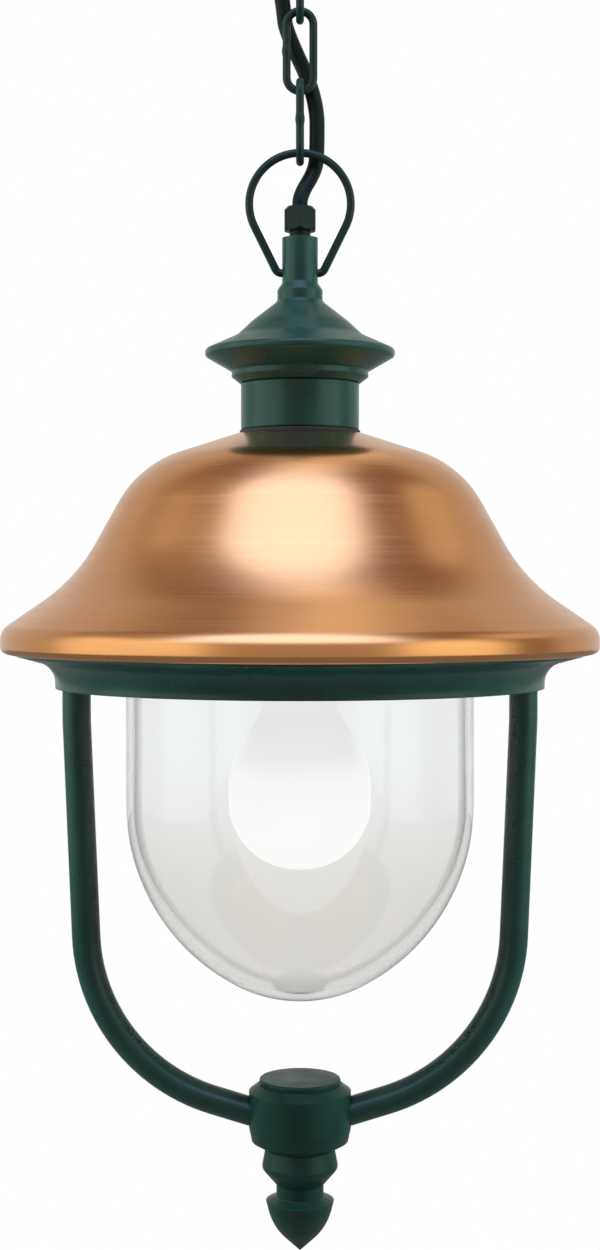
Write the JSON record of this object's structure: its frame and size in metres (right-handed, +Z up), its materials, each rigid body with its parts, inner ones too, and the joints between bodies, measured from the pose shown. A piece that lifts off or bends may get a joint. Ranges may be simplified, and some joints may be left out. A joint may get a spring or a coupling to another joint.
{
  "type": "outdoor ceiling light",
  "caption": "Hanging outdoor lantern with a bell-shaped copper hood, clear glass dome held by curved arms, and a chain and ring under a ceiling rose.",
  "frame": {"origin": "middle of the ceiling face, between the two screw holes of the bracket", "axes": "+Z up out of the lamp into the ceiling, X along the hanging ring and the arms, -Y towards the viewer of the picture"},
  "size_m": [0.25, 0.25, 0.5961],
  "materials": {
    "green_paint": "semi-gloss dark green paint on cast aluminium",
    "copper": "satin polished copper",
    "green_steel": "semi-gloss dark green paint",
    "clear_glass": "clear, polished",
    "opal_bulb": "opal white",
    "zinc_steel": "zinc plated",
    "brass": "plain brass",
    "black_cable": "matte sheath",
    "core_sheath": "matte core insulation",
    "black_rubber": "matte",
    "dark_plastic": "matte",
    "white_plastic": "matte",
    "porcelain": "glazed"
  },
  "bodies": {
    "ceiling": {"ceiling_bracket": "zinc_steel", "ceiling_rose": "green_paint", "eye_bolt": "green_steel", "eye_nuts": "zinc_steel", "cable_grommet": "black_rubber", "connector_block": "white_plastic", "rose_wires": "core_sheath", "supply_cable": "black_cable"},
    "chain_upper": {"upper_link": "green_steel"},
    "chain_middle": {"middle_link": "green_steel"},
    "chain_lower": {"lower_link": "green_steel"},
    "ring": {"hanging_ring": "green_steel"},
    "lantern": {"gland_body": "dark_plastic", "gland_seal": "black_rubber", "gland_nut": "dark_plastic", "cap": "green_paint", "neck": "green_paint", "hood_seal": "black_rubber", "hood": "copper", "tie_tube": "zinc_steel", "tie_washer": "zinc_steel", "tie_nut": "zinc_steel", "bridge": "zinc_steel", "bridge_screws": "zinc_steel", "lampholder_cap": "dark_plastic", "lampholder_sleeve": "dark_plastic", "lampholder_insert": "porcelain", "screw_shell": "brass", "centre_contact": "brass", "bulb": "opal_bulb", "lamp_wires": "core_sheath", "gallery": "green_paint", "glass_dome": "clear_glass", "glass_gasket": "black_rubber", "glass_clips": "zinc_steel", "clip_screws": "zinc_steel", "left_arm": "green_paint", "right_arm": "green_paint", "arm_screws": "zinc_steel", "collar": "green_paint", "collar_cover": "green_paint", "collar_grub_screws": "zinc_steel", "finial": "green_paint", "finial_stud": "zinc_steel"}
  },
  "joints": [
    {"name": "upper_link_swing", "type": "hinge", "parent": "ceiling", "child": "chain_upper", "pos_m": [0, 0, -0.04855], "axis": [1, 0, 0], "range_deg": [-20, 20], "deforming": ["supply_cable"]},
    {"name": "middle_link_swing", "type": "hinge", "parent": "chain_upper", "child": "chain_middle", "pos_m": [0, 0, -0.0775], "axis": [0, 1, 0], "range_deg": [-20, 20], "deforming": ["supply_cable"]},
    {"name": "lower_link_swing", "type": "hinge", "parent": "chain_middle", "child": "chain_lower", "pos_m": [0, 0, -0.107], "axis": [1, 0, 0], "range_deg": [-20, 20], "deforming": ["supply_cable"]},
    {"name": "ring_swing", "type": "hinge", "parent": "chain_lower", "child": "ring", "pos_m": [0, 0, -0.1365], "axis": [0, 1, 0], "range_deg": [-20, 20], "deforming": ["supply_cable"]},
    {"name": "lantern_swing", "type": "hinge", "parent": "ring", "child": "lantern", "pos_m": [0, 0, -0.183], "axis": [1, 0, 0], "range_deg": [-30, 30], "deforming": ["supply_cable"]}
  ]
}
